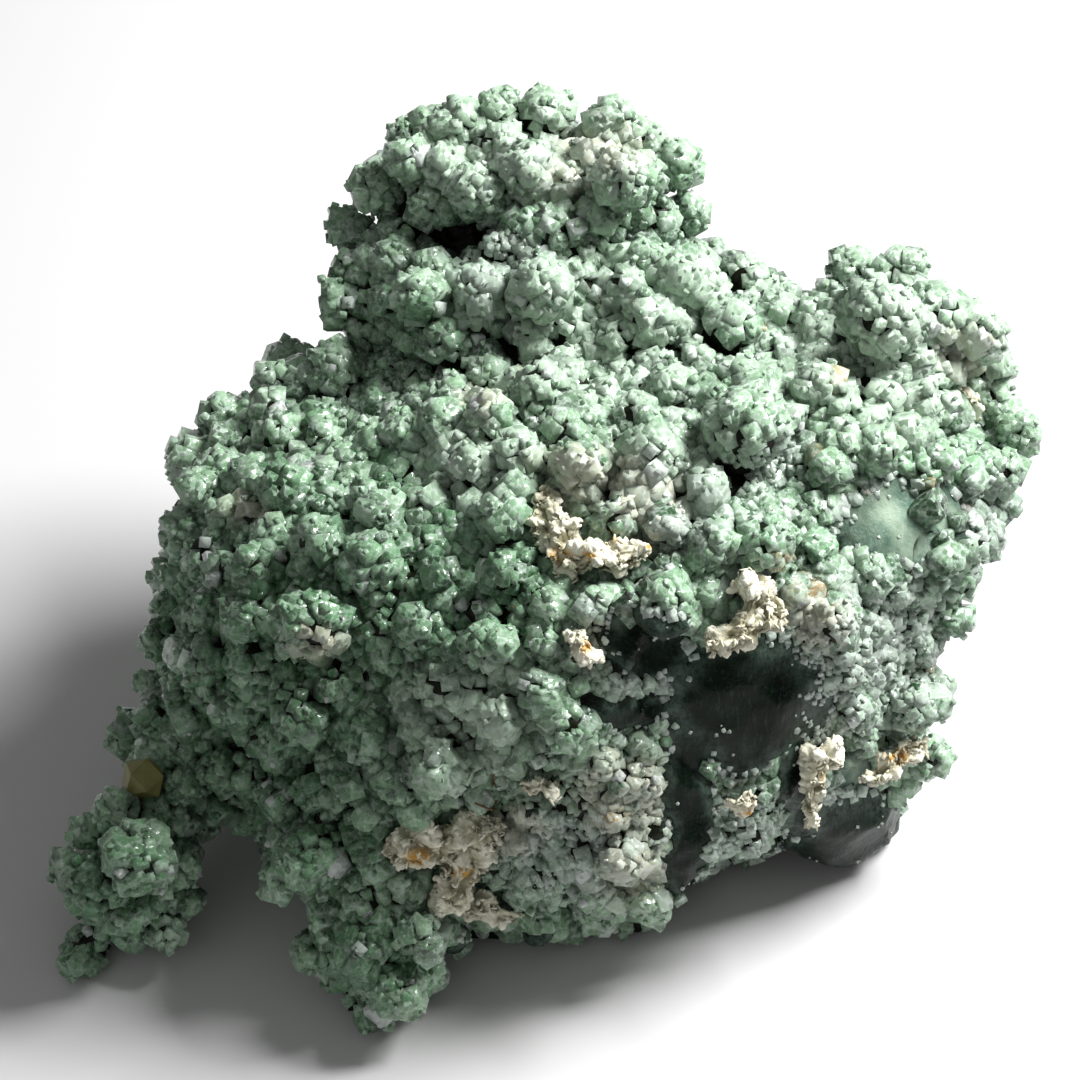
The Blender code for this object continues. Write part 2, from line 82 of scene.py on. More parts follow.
# Nodules that stand out, in mm: (across, up, radius)
NODULES = (
    # head
    (-31, 63, 4.4), (-29, 68, 4), (-17, 67, 4), (-12, 63, 4.5), (-9, 75, 4), (1, 76, 5), (-3, 67, 4.7),
    (4, 65, 3.6), (15, 65, 5.8), (19, 73, 4.4), (24, 67, 4.4), (27, 61, 4), (13, 73, 4.4), (-15, 74, 4.4),
    (10, 58, 3.3), (25, 56, 3.4),
    (31, 51, 3),
    # neck
    (-34, 55, 4), (-25, 55, 3.2), (-34, 49, 3.4), (-34, 43, 4), (-27, 43, 3), (-22, 44, 5),
    (-11, 45, 5), (0, 45, 6), (6, 47, 3.5), (15, 46, 3.5), (18, 50, 4.5), (25, 47, 5.4),
    # upper slope
    (-11, 38, 4.5), (-17, 35, 4.5), (-2, 37, 4), (-27, 31, 3.3), (-10, 30, 4), (0, 27, 5),
    (6, 28, 3.3), (-9, 22, 4.5), (4, 19, 4), (11, 25, 3), (14, 36, 3.4), (20, 39, 5.4),
    (23, 27, 4.5), (17, 22, 4), (36, 45, 4.5), (44, 46, 3.3), (34, 38, 5.4), (28, 32, 3.5),
    (37, 20, 8), (26, 20, 3.3), (30, 9, 4.5), (44, 5, 2.8), (35, 2, 4), (40, -1, 5.4),
    (31, -1, 4.5), (23, 2, 3.6), (52, 13, 3.6), (54, 18, 3.6), (61, 16, 4), (68, 24, 3.6),
    (61, 25, 3.5),
    # horn and right edge
    (84, 19, 4.4), (86, 12, 4.2), (82, 25, 3.6), (79, 31, 4), (83, 0, 4), (74, 43, 4), (80, 37, 4.4),
    (52, 44, 3), (56, 48, 3.8), (61, 49, 3.2), (66, 48, 3.4), (62, 39, 7), (71, 40, 6),
    (76, 39, 5), (80, 13, 3.6), (83, 6, 3.6), (81, 0, 3), (76, -1, 4.5), (66, -14, 3.6),
    (75, -15, 3), (53, -15, 4.5), (61, -22, 3.3), (73, -26, 3), (67, -30, 5), (56, -31, 3.6),
    # left shoulder
    (-57, 22, 3.6), (-48, 28, 3.3), (-37, 30, 5), (-39, 22, 3.6), (-47, 19, 4), (-29, 25, 3),
    (-22, 25, 3), (-24, 19, 3.6), (-31, 19, 3), (-41, 14, 3), (-35, 13, 3), (-52, 10, 3.3),
    (-57, 4, 3.3), (-40, 0, 4.5), (-48, 1, 3.6), (-28, 4, 4), (-21, 5, 4), (-31, -4, 5.4),
    (-41, -6, 3), (-51, -5, 4.5), (-28, -11, 3.6), (-52, -14, 4), (-41, -15, 6.3),
    (-22, -14, 3.6),
    # middle
    (-12, 13, 4), (-4, 15, 4.5), (-4, 9, 4), (-7, 4, 4.5), (7, 13, 5), (20, 15, 5.8),
    (18, 8, 5.4), (13, 4, 4), (-7, -6, 4), (-18, -6, 3), (-23, -8, 3), (-16, -12, 3.3),
    (-21, -16, 4.5), (-11, -13, 3.3), (-10, -19, 4.5), (0, -11, 3.3), (0, -18, 3),
    (-29, -16, 3), (-26, -20, 4), (-18, -26, 4), (-13, -27, 3.3), (0, -27, 3.8),
    # left flank
    (-68, -18, 3.4), (-62, -15, 3.4), (-68, -11, 3), (-69, -27, 3), (-60, -22, 4),
    (-54, -30, 4), (-51, -34, 4), (-45, -27, 3.4), (-43, -32, 4.5), (-57, -41, 4.3),
    (-64, -44, 3.3), (-50, -43, 3.3), (-46, -47, 4), (-53, -48, 3), (-63, -33, 3),
    (-74, -36, 3.4), (-36, -26, 3.3), (-31, -30, 3.3), (-35, -32, 3),
    # lower slope
    (-21, -34, 4.5), (-7, -32, 3.6), (-31, -36, 4), (-28, -40, 3.3), (-18, -41, 5.4),
    (-25, -44, 4), (-34, -43, 3.2), (-6, -39, 3), (5, -33, 4.5), (0, -37, 3.6),
    (-11, -45, 3), (-22, -48, 3.3), (-2, -48, 3.2), (3, -49, 3), (13, -49, 3.3),
    (19, -44, 3), (15, -43, 3), (11, -40, 3), (15, -57, 4.5), (-4, -55, 3),
    (-41, -57, 6.3), (-46, -55, 3), (-40, -61, 3.6), (-39, -52, 3.4), (-31, -56, 3.4),
    (-50, -62, 3.6), (-38, -67, 3), (-32, -65, 3),
    # toe
    (-40, -74, 3.3), (-33, -74, 4), (-28, -73, 3), (-25, -75, 3), (-30, -78, 3),
    (-26, -81, 5), (-22, -77, 3.4), (-29, -83, 3), (-23, -86, 3),
    # left foot
    (-82, -53, 3.3), (-81, -62, 5), (-72, -57, 6.3), (-70, -52, 3), (-81, -72, 3),
    (-74, -71, 3), (-86, -60, 2.6), (-76, -49, 4.5), (-78, -45, 3), (-76, -62, 3.3),
    (-68, -63, 3.3), (-75, -67, 3.6), (-65, -58, 3.3), (-64, -65, 3),
)
NODULE_OUT = 0.45
EDGE_OUT = 0.7
# Where no nodule stands out, for the outline's sake: place (across, up), reach (across, up), mm
HOLLOWS = (((-71, -6), (4, 9)), ((-65, 18), (4, 13)), ((-46, 37), (5, 2.5)), ((-1, 84), (9, 4)), ((-24, 80), (6, 5)))
# Deep gaps between nodules, where no nodule grows and the crystals get painted shade: place (across, up), reach
# (across, up), mm
PITS = (
    ((-24.3, 10.8), (7, 4)), ((-35.6, 1.8), (3.6, 3.6)), ((-25.2, -6.8), (3.6, 3.6)), ((-16.2, -20.7), (6, 4.4)),
    ((9, 29.7), (5, 3.6)), ((-5, 31.5), (3, 4.4)), ((-47.7, 12.2), (3.6, 3)), ((-38.7, -22), (7, 3)),
    ((-56.7, -38.7), (4, 5)), ((-13.5, -35), (4, 3.4)), ((-28, -35), (3.6, 3)), ((-1.8, -28.8), (4, 3)),
    ((-41.4, -36.9), (4, 4)), ((-7, -46.8), (4, 3)), ((-58.5, -18), (3.6, 3)), ((18, 18), (3.6, 3)),
    ((-14.4, 35), (4, 3)), ((-45, -8), (3.6, 3)), ((-7, -3), (3.6, 3)), ((45, 30), (4, 3)), ((30, 28), (3.6, 3)),
)
# Nodules that fill the rest: radii in mm, spacing, how far they stand out, and tries
FILLS = (
    ((3.0, 5.4), 0.94, (0.1, 0.6), 16000),
    ((1.8, 3.2), 0.86, (0.0, 0.5), 30000),
)
NODULE_CORE = 0.86
BOX_MARGIN = 0.015

# Where the stone is bare of crystals: place (across, up), reach (across, up), mm
BARE = {
    "front glass": ((36, -29), (15, 13)),
    "glass strip": ((26, -52), (4.4, 22)),
    "low front glass": ((42, -66), (16, 9)),
    "upper left glass": ((19, -18), (7, 6)),
    "left glass": ((15, -31), (7, 3.6)),
    "right strip": ((47, -43), (3.6, 10)),
    "block glass": ((61, -59), (20, 14)),
    "green glass": ((56, -41), (4, 4)),
    "window": ((66, 3.5), (12.5, 8)),
    "lip": ((-4, -75), (18, 5)),
}
BARE_MARGIN = 2.2
BARE_WARP = ((9 * MM, 3.5), (3.5 * MM, 1.2))
# Flat breaks in the bare stone: place (across, up), lean (across, up), and how deep, mm
BREAKS = (
    (48, -53, -0.3, 0.1, 1.6), (56, -50, 0.0, 0.45, 1.6), (64, -52, 0.4, 0.3, 2.0), (52, -62, -0.2, -0.3, 2.2),
    (60, -62, 0.15, -0.35, 2.2), (69, -60, 0.7, -0.1, 2.0), (45, -60, -0.5, -0.2, 1.4), (57, -56, 0.1, 0.0, 2.4),
    (30, -24, -0.2, 0.2, 1.2), (41, -24, 0.2, 0.2, 1.2), (34, -33, -0.1, -0.15, 1.2), (45, -34, 0.3, -0.1, 1.0),
    (26, -42, -0.2, 0.0, 0.9), (25, -55, -0.2, -0.2, 1.0), (36, -66, 0.0, -0.3, 1.2),
    (66, 4, 0.05, 0.1, 0.6), (71, 2, 0.25, 0.0, 0.6), (60, 5, -0.2, 0.0, 0.6),
)
BREAK_REACH = 13 * MM
# Single cubes that stand out, with a painted white glint: place (across, up) and half size, mm
GLINT_CUBES = (
    (-58, -6.8, 1.4), (-60.5, -1.4, 1.1), (-30.8, -8.1, 1.2), (-35.5, -11.2, 1.1), (-15, -12.2, 1),
    (-11.3, -10.4, 1), (-1.4, -24.7, 1), (-34.4, 43.7, 1.2), (-18, 43.6, 1.3), (-9.9, 39.2, 1.1),
    (-9.9, 36.4, 1.2), (1.4, 30.4, 1), (36.9, 41, 1), (27.9, 32.4, 1), (44.1, 5.4, 1.4),
    (21.2, 13.5, 1.9), (21.2, 17.3, 1.1), (66.2, 44.6, 1), (61.2, 25.2, 1), (81, 0, 1),
    (69.3, -4.9, 1), (-50.4, -43, 1.2), (-46.8, -45, 1), (-77.8, -56.3, 1.1), (-75.6, -60.1, 1),
    (-66.6, -60.7, 1), (-81, -72.4, 1), (-31.5, -74.5, 1.1), (14.8, -43.6, 1), (-1.6, -40, 1.2),
    (-22.7, -86.8, 1.2), (5.4, 56.7, 1.7), (-4, 42.3, 1), (14.8, 45.5, 1),
)
CLEAR = (BARE["window"], BARE["green glass"], ((58, -22), (6, 5)))
GLASS_SWELL = 7 * MM
GLASS_RIDGE = 9 * MM
GLASS_HEIGHT = 0.5 * MM
GLASS_RISE = 2.2 * MM
WINDOW_RISE = 0.5 * MM
BASE_BARE = 5 * MM

# Crystals: half size in mm, spacing, tries, how far the centre stands out, and shape shares
LUMPS = {"half": (1.0, 2.2), "spacing": 0.72, "tries": 130000, "out": -0.2, "shares": (0.5, 0.3, 0.15, 0.05)}
FINE = {"half": (0.35, 0.85), "spacing": 1.7, "tries": 60000, "out": -0.3, "shares": (0.8, 0.2, 0.0, 0.0)}
BACK_GROWTH = 1.25
SUGAR_GROWTH = 0.6
BARE_HALF = (0.1, 0.34)
BARE_CHANCE = (0.0012, 0.07)
BARE_CLUSTER = 7 * MM
BARE_EDGE = 0.75
BARE_RIM = 0.8
CREVICE = 0.47
LARGEST_PIECE = 190000

# Where the crystals are fine as sugar: place (across, up), reach (across, up), mm
SUGAR = (
    ((18, -47), (13, 11)), ((36, -52), (10, 11)), ((15, -24), (10, 13)), ((58, -24), (18, 16)),
    ((3, -48), (15, 7)), ((-4, -60), (9, 6)), ((-7, 52), (9, 4)), ((40, 13), (10, 4)),
)
# Tints of the druse, with the pale and deep ones partly painted light and shade: place (across, up), reach (across,
# up), mm
TINTS = {
    "grey": (
        ((-7, 52), (10, 5)), ((40, 13), (11, 4)), ((44, 17), (6, 4)), ((18, -22), (10, 12)),
        ((58, -20), (19, 18)), ((36, -52), (10, 10)), ((9, -18), (6, 8)), ((4, -56), (17, 10)),
        ((81, 4), (6, 9)), ((-10, 45), (6, 5)), ((24, 4), (10, 7)),
    ),
    "warm": (
        ((18, -47), (10, 9)), ((11, 70), (9, 5)), ((4, 65), (6, 3)), ((11, 11), (11, 6)),
        ((20, 7), (9, 5)), ((50, -14), (7, 6)), ((18, -60), (9, 6)), ((-41, -18), (5, 3)),
        ((-52, 5), (5, 3)), ((-11, 25), (5, 3)), ((4, 14), (7, 3)), ((76, 34), (7, 5)),
        ((-5, -52), (7, 5)), ((14, -45), (9, 9)),
    ),
    "ochre": (
        ((54, 29), (2, 1.2)), ((40, 38), (1.6, 1.2)), ((63, 20), (2, 1)), ((58.5, 19.4), (1.5, 1)),
        ((50, 15), (1.5, 1)), ((70, 10), (2, 1.4)), ((73.4, 8), (1.6, 1.4)), ((75.6, 5.4), (1.4, 2)),
        ((67.5, 1.8), (2.4, 1.6)), ((59, 8), (1.4, 1)), ((44, -3.6), (2.4, 2)), ((47.7, -6.3), (1.4, 2)),
        ((44.5, -10.4), (1.6, 1.4)), ((48.4, -9.7), (1.2, 1.2)), ((-4.5, 29.7), (1.4, 1)),
        ((13.5, -49.5), (2.4, 1.6)), ((69, -22.5), (2, 1.6)),
    ),
    # pale: paler frost, partly painted light on the lit upper and right side
    "pale": (
        ((10, 38), (30, 17)), ((0, 69), (24, 11)), ((62, 34), (28, 18)), ((26, 12), (18, 12)), ((-12, 14), (14, 9)),
        ((-14, -32), (16, 12)), ((60, -22), (16, 12)), ((18, -47), (13, 12)), ((34, 46), (14, 8)),
    ),
    # deep: painted shade on the shaded left side and in the pits, partly the deeper green of the stone
    "deep": (
        *PITS, ((-50, -24), (34, 40)), ((-14, -8), (20, 16)), ((-80, -62), (16, 20)), ((-30, -78), (16, 12)), ((-56, -20), (13, 17)), ((-21.6, -21.6), (9, 6)), ((-25, 12.6), (10, 6)), ((-38, -56), (13, 9)),
        ((-74, -59), (13, 13)), ((-30, -76), (12, 10)), ((-45, -35), (14, 10)), ((-20, 40), (8, 5)),
    ),
}
CORNER_REACH = 1.65

# Dark specks: sizes in mm, how many, and groups as (across, up, spread, count)
SPECK_SIZE = (0.1, 0.26)
SPECKS = 150
SPECK_GROUPS = (
    (-43, -19, 3, 12), (4, 7, 6, 14), (-10, -14, 4, 8), (13, -50, 6, 14), (-4, -45, 4, 8), (60, 12, 10, 14),
    (26, 5, 6, 10), (-24, 20, 6, 8),
)
# Dried plant fibres: path of (across, up), radius and how far they stand off, mm
FIBRES = (
    (((-8.8, -41.4), (-8.2, -44), (-7.9, -46.8), (-8.5, -48.2)), 0.16, 0.3),
    (((-11.9, -47.3), (-10, -48.1), (-8.3, -48.4)), 0.17, 0.4),
    (((10.4, 44.1), (10.8, 42.8), (10.4, 41.4)), 0.1, 0.2),
)

CRUST_VOXEL = 0.34 * MM
CRUMB = 5.5 * MM
CRUMB_BASE = 0.75
CRUMB_HEIGHT = 4.2 * MM
CRUST_FLAKES = 0.3
FLAKE_SIZE = ((0.4, 1.1), (0.35, 0.9), (0.08, 0.2))
FLAKE_LEAN = 0.35
FLAKE_OUT = (-0.5, 0.3)
FLAKE_KINDS = 6
FLAKE_CORNERS = 7
CRUST_STAINS = (
    ((3.6, -2.7), (2.6, 1.6)), ((9, -2.7), (1.8, 1.4)), ((6.3, 5.4), (1.4, 1.6)), ((19.8, -0.9), (1.4, 1)),
    ((12.6, 0), (1.6, 1)), ((8.2, -19.5), (1.4, 2)), ((11.7, -13.9), (1.4, 1)), ((-4, -44), (1.5, 1)),
    ((-22, -57), (3, 2)), ((-14, -60), (2.4, 1.2)), ((38, -49), (2, 1)), ((52, -43), (2, 1.4)),
    ((64, -39), (3, 1.6)), ((76, 23), (1, 2)),
)


def sight_point(across, up, out=0.0):
    """Point on the sight line through (across, up), out mm in front of the plane."""
    nearer = 1 - out * MM / EYE_DISTANCE
    return DISPLAY_CENTRE + (RIGHT * across + UPWARD * up) * MM * nearer + TOWARD * out * MM


def display_places(points):
    """The (across, up) in mm at which the viewer sees each of many points."""
    offset = points - np.array(DISPLAY_CENTRE)
    nearer = 1 - offset @ np.array(TOWARD) / EYE_DISTANCE
    across = offset @ np.array(RIGHT) / nearer / MM
    up = offset @ np.array(UPWARD) / nearer / MM
    return across, up


def linear(colour):
    return [((c + 0.055) / 1.055) ** 2.4 if c > 0.04 else c / 12.92 for c in colour]


def link(obj):
    bpy.context.scene.collection.objects.link(obj)
    return obj


def mesh_object(name, verts, faces):
    mesh = bpy.data.meshes.new(name)
    mesh.from_pydata(verts, [], faces)
    mesh.update()
    return link(bpy.data.objects.new(name, mesh))


def triangles_object(name, verts, triangles):
    """An object from arrays: points (n, 3) and triangles (m, 3)."""
    mesh = bpy.data.meshes.new(name)
    mesh.vertices.add(len(verts))
    mesh.vertices.foreach_set("co", np.ascontiguousarray(verts, np.float32).ravel())
    mesh.loops.add(len(triangles) * 3)
    mesh.loops.foreach_set("vertex_index", np.ascontiguousarray(triangles, np.int32).ravel())
    mesh.polygons.add(len(triangles))
    mesh.polygons.foreach_set("loop_start", np.arange(0, len(triangles) * 3, 3, dtype=np.int32))
    mesh.update(calc_edges=True)
    return link(bpy.data.objects.new(name, mesh))


def settle(obj):
    """Apply an object's modifiers to its own mesh."""
    depsgraph = bpy.context.evaluated_depsgraph_get()
    mesh = bpy.data.meshes.new_from_object(obj.evaluated_get(depsgraph))
    old = obj.data
    obj.modifiers.clear()
    obj.data = mesh
    bpy.data.meshes.remove(old)


def put_in_order(obj):
    """Put a mesh of quads in a fixed order, as remeshing leaves it in any, and cut it in triangles."""
    points = points_of(obj).round(7)
    quads = np.empty(len(obj.data.loops), np.int32)
    obj.data.loops.foreach_get("vertex_index", quads)
    quads = quads.reshape(-1, 4)
    order = np.lexsort(points.T)
    rank = np.empty(len(order), np.int64)
    rank[order] = np.arange(len(order))
    quads = rank[quads]
    first = quads.argmin(axis=1)
    quads = np.take_along_axis(quads, (first[:, None] + np.arange(4)) % 4, axis=1)
    quads = quads[np.lexsort(quads.T)]
    name, old = obj.data.name, obj.data
    fresh = triangles_object(name, points[order], np.vstack((quads[:, (0, 1, 2)], quads[:, (0, 2, 3)])))
    obj.data = fresh.data
    bpy.data.objects.remove(fresh)
    bpy.data.meshes.remove(old)
    obj.data.name = name


def remesh(obj, voxel, steps, factor=0.5):
    skin = obj.modifiers.new("skin", "REMESH")
    skin.mode = "VOXEL"
    skin.voxel_size = voxel
    settle(obj)
    put_in_order(obj)
    if steps:
        melt = obj.modifiers.new("melt", "SMOOTH")
        melt.iterations = steps
        melt.factor = factor
        settle(obj)


def points_of(obj):
    co = np.empty(len(obj.data.vertices) * 3, np.float32)
    obj.data.vertices.foreach_get("co", co)
    return co.reshape(-1, 3).astype(float)


def triangles_of(obj):
    obj.data.calc_loop_triangles()
    index = np.empty(len(obj.data.loop_triangles) * 3, np.int32)
    obj.data.loop_triangles.foreach_get("vertices", index)
    return index.reshape(-1, 3)


def search_tree(obj):
    return BVHTree.FromPolygons(points_of(obj).tolist(), triangles_of(obj).tolist())


def scatter(obj, count, rng):
    """Random points spread evenly over a surface, with the normals there."""
    points, triangles = points_of(obj), triangles_of(obj)
    a, b, c = (points[triangles[:, i]] for i in range(3))
    cross = np.cross(b - a, c - a)
    area = np.linalg.norm(cross, axis=1)
    pick = rng.choice(len(triangles), count, p=area / area.sum())
    s, t = np.sqrt(rng.random(count)), rng.random(count)
    places = a[pick] * (1 - s)[:, None] + b[pick] * (s * (1 - t))[:, None] + c[pick] * (s * t)[:, None]
    return places, cross[pick] / area[pick][:, None]


class Spacing:
    """Keeps points apart: a grid of cells that remembers which points are taken."""

    def __init__(self, cell):
        self.cell = cell
        self.cells = {}

    def key(self, place):
        return tuple(int(math.floor(c / self.cell)) for c in place)

    def is_clear(self, place, reach, factor):
        i, j, k = self.key(place)
        for di in (-1, 0, 1):
            for dj in (-1, 0, 1):
                for dk in (-1, 0, 1):
                    for other, r in self.cells.get((i + di, j + dj, k + dk), ()):
                        gap = factor * (reach + r)
                        d = (place[0] - other[0], place[1] - other[1], place[2] - other[2])
                        if d[0] * d[0] + d[1] * d[1] + d[2] * d[2] < gap * gap:
                            return False
        return True

    def add(self, place, reach):
        self.cells.setdefault(self.key(place), []).append((place, reach))


def inside(points, across, up, zones, margin=0.0):
    """How deep inside the nearest zone each place lies: 1 in the middle, 0 outside."""
    most = np.zeros(len(across))
    for (mid_x, mid_y), (reach_x, reach_y) in zones:
        away = ((across - mid_x) / (reach_x + margin)) ** 2 + ((up - mid_y) / (reach_y + margin)) ** 2
        most = np.maximum(most, np.clip(1.15 - away, 0, 1))
    return most


def bare_depth(points, normals, margin=0.0):
    """How deep inside the bare stone each place lies, with ragged borders."""
    across, up = display_places(points)
    for scale, reach in BARE_WARP:
        warp = np.array([noise.noise_vector(Vector(point) / scale)[:2] for point in points]) * reach
        across, up = across + warp[:, 0], up + warp[:, 1]
    depth = inside(points, across, up, BARE.values(), margin)
    depth[normals @ np.array(TOWARD) < -0.6] = 0
    under = (points[:, 2] < BASE_BARE) & (normals[:, 2] < -0.3)
    return np.where(under, 1.0, depth)


def sight_hit(tree, across, up):
    """Where the viewer's sight line meets the stone, or passes nearest, and which way out."""
    aim = (sight_point(across, up) - EYE).normalized()
    point = tree.ray_cast(EYE, aim)[0]
    if point is not None:
        return point, TOWARD
    passes = [sight_point(across, up, out) for out in range(-70, 60, 4)]
    wanted = min(passes, key=lambda place: tree.find_nearest(place)[3])
    point = tree.find_nearest(wanted)[0]
    return point, (wanted - point).normalized() * EDGE_OUT / NODULE_OUT


def inside_box(centre, reach):
    """Moves centres in, so that what stands round them stays inside the part's box."""
    low, high = (np.array(corner) for corner in CAD_BOX)
    spare = (high - low) * BOX_MARGIN
    reach = np.asarray(reach)[..., None]
    lowest = low - spare + reach
    lowest[..., 2] = reach[..., 0]
    return np.clip(centre, lowest, high + spare - reach)


def crust_spots():
    """Points of the white crusts, which nodules and crystals keep off."""
    spots = []
    for name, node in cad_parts.items():
        if name.startswith("white_crust"):
            spots += [(tuple(vert.co), 0.6 * MM) for vert in node.data.vertices]
    return spots


def melted_rock():
    """The part's own solid with its large crystals melted down."""
    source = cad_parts["fluorite_cluster"]
    rock = link(bpy.data.objects.new("rock", source.data.copy()))
    remesh(rock, ROCK_VOXEL, ROCK_STEPS)
    inset = rock.modifiers.new("inset", "DISPLACE")
    inset.strength = -ROCK_INSET
    inset.mid_level = 0.0
    settle(rock)
    return rock


def nodule_list(rock, rng):
    """Every nodule as (centre, radius): the ones that stand out, then a fill."""
    tree = search_tree(rock)
    near = Spacing(12 * MM)
    found = []
    for place, reach in crust_spots():
        near.add(place, reach)
    for across, up, size in sorted(NODULES, key=lambda nodule: -nodule[2]):
        point, outward = sight_hit(tree, across, up)
        radius = size * MM
        place = tuple(inside_box(np.array(point + outward * radius * NODULE_OUT), radius))
        if near.is_clear(place, radius, 0.62):
            near.add(place, radius)
            found.append((place, radius))
    for radii, spacing, outs, tries in FILLS:
        places, normals = scatter(rock, tries, rng)
        bare = bare_depth(places, normals, BARE_MARGIN) > 0
        across, up = display_places(places)
        bare |= inside(places, across, up, HOLLOWS + PITS) > 0.15
        sizes = rng.uniform(*radii, tries) * MM
        sizes *= np.where(inside(places, across, up, SUGAR) > 0.3, 0.75, 1.0)
        stands = rng.uniform(*outs, tries)
        for place, normal, size, out, is_bare in zip(places, normals, sizes, stands, bare):
            if is_bare:
                continue
            centre = tuple(inside_box(place + normal * size * out, size))
            if near.is_clear(centre, size, spacing):
                near.add(centre, size)
                found.append((centre, float(size)))
    return found


def ball(detail):
    bm = bmesh.new()
    bmesh.ops.create_icosphere(bm, subdivisions=detail, radius=1.0)
    verts = np.array([v.co[:] for v in bm.verts])
    faces = np.array([[v.index for v in f.verts] for f in bm.faces])
    bm.free()
    return verts, faces


def growth_surface(rock, nodules):
    """The rock and its nodules as one skin."""
    verts, faces = ball(2)
    centres = np.array([centre for centre, _ in nodules])
    radii = np.array([radius for _, radius in nodules])
    radii = radii * NODULE_CORE
    all_verts = (verts[None] * radii[:, None, None] + centres[:, None]).reshape(-1, 3)
    steps = np.arange(len(nodules)) * len(verts)
    all_faces = (faces[None] + steps[:, None, None]).reshape(-1, 3)
    base_verts, base_faces = points_of(rock), triangles_of(rock)
    all_faces = np.vstack((base_faces, all_faces + len(base_verts)))
    body = triangles_object("fluorite_body", np.vstack((base_verts, all_verts)), all_faces)
    remesh(body, SKIN_VOXEL, SKIN_STEPS)
    points = points_of(body)
    normals = np.empty(len(points) * 3, np.float32)
    body.data.vertices.foreach_get("normal", normals)
    normals = normals.reshape(-1, 3)
    across, up = display_places(points)
    facing = normals @ np.array(TOWARD) > -0.2
    depth = bare_depth(points, normals)
    solid = search_tree(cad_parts["fluorite_cluster"])
    clear = inside(points, across, up, CLEAR) * facing
    rise = np.minimum(1, 2.5 * depth) * (GLASS_RISE + WINDOW_RISE * np.minimum(1, 2 * clear))
    points += normals * rise[:, None]
    for break_x, break_y, lean_x, lean_y, sink in BREAKS:
        middle, _ = sight_hit(solid, break_x, break_y)
        near = np.where((depth > 0) & (np.linalg.norm(points - np.array(middle), axis=1) < BREAK_REACH))[0]
        if not len(near):
            continue
        way = Vector(normals[near].mean(axis=0)).normalized() + RIGHT * lean_x + UPWARD * lean_y
        way = np.array(way.normalized())
        above = (points[near] - np.array(middle)) @ way + sink * MM
        points[near] -= np.clip(above, 0, 4 * MM)[:, None] * way
    for index in np.where(depth > 0)[0]:
        place = Vector(points[index])
        swell = noise.turbulence(place / GLASS_SWELL, 3, False)
        ridge = 1 - abs(noise.noise(place / GLASS_RIDGE))
        height = (0.6 * swell + 0.9 * ridge ** 6) * GLASS_HEIGHT * min(1.0, 2 * depth[index])
        points[index] += normals[index] * height
    points[:, 2] = np.maximum(points[:, 2], 0.1 * MM)
    body.data.vertices.foreach_set("co", np.ascontiguousarray(points, np.float32).ravel())
    store(body.data, "window", "POINT", clear)
    # gap: painted shade, dark brown, on the skin that shows only between crystals
    store(body.data, "gap", "POINT", np.where(depth > 0, 0.0, 0.6))
    store(body.data, "rim", "POINT", np.where(depth > 0, np.clip(1 - depth / BARE_RIM, 0, 1), 0.0))
    return body


def crystal_places(surface, habit, near, rng):
    """Where crystals of one habit grow: place, normal, half size and bareness of each."""
    tries = habit["tries"]
    places, normals = scatter(surface, tries, rng)
    across, up = display_places(places)
    facing = normals @ np.array(TOWARD) > -0.2
    depth = bare_depth(places, normals)
    bare = depth > 0
    low, high = habit["half"]
    halves = (low + (high - low) * rng.random(tries) ** 1.4) * MM
    halves *= np.where(facing, 1.0, BACK_GROWTH)
    sugar = inside(places, across, up, SUGAR) * facing
    halves *= 1 - (1 - SUGAR_GROWTH) * np.minimum(sugar * 2, 1)
    fade = np.clip(1 - depth / BARE_EDGE, 0, 1)
    small = rng.uniform(*BARE_HALF, tries) * MM
    halves = np.where(bare, small + (halves * 0.6 - small) * fade ** 1.5, halves)
    cluster = np.array([
        noise.noise(place / BARE_CLUSTER) > 0.25 if is_bare else False
        for place, is_bare in zip(places, bare)])
    chance = np.where(cluster, BARE_CHANCE[1], BARE_CHANCE[0])
    skip = bare & (rng.random(tries) > np.maximum(chance, 0.6 * fade ** 3))
    kept = []
    for index in np.where(~skip)[0]:
        place = tuple(places[index])
        half = halves[index]
        if near.is_clear(place, half, habit["spacing"]):
            near.add(place, half)
            kept.append(index)
    kept = np.array(kept)
    return places[kept], normals[kept], halves[kept], bare[kept]


def random_turns(count, rng):
    """Random rotation matrices (count, 3, 3)."""
    q = rng.normal(size=(count, 4))
    q /= np.linalg.norm(q, axis=1)[:, None]
    w, x, y, z = q.T
    return np.stack((
        1 - 2 * (y * y + z * z), 2 * (x * y - z * w), 2 * (x * z + y * w),
        2 * (x * y + z * w), 1 - 2 * (x * x + z * z), 2 * (y * z - x * w),
        2 * (x * z - y * w), 2 * (y * z + x * w), 1 - 2 * (x * x + y * y),
    ), axis=-1).reshape(-1, 3, 3)


CUBE = np.array([(x, y, z) for x in (-1, 1) for y in (-1, 1) for z in (-1, 1)], float)


def hull_of(points):
    """Outward triangles of a convex set of points."""
    bm = bmesh.new()
    for point in points:
        bm.verts.new(point)
    bm.verts.index_update()
    bmesh.ops.convex_hull(bm, input=bm.verts[:])
    bmesh.ops.triangulate(bm, faces=bm.faces[:])
    bmesh.ops.recalc_face_normals(bm, faces=bm.faces[:])
    bm.verts.ensure_lookup_table()
    verts = np.array([v.co[:] for v in bm.verts])
    faces = np.array([[v.index for v in f.verts] for f in bm.faces])
    bm.free()
    return verts, faces


def truncated_cube(cut):
    corners = []
    for corner in CUBE:
        for axis in range(3):
            point = corner.copy()
            point[axis] *= 1 - cut
            corners.append(point)
    return hull_of(corners)


SHAPES = (hull_of(CUBE), truncated_cube(0.4), truncated_cube(0.7), truncated_cube(1.0))
SHAPE_GROWTH = np.array((1.0, 1.05, 1.15, 1.3))


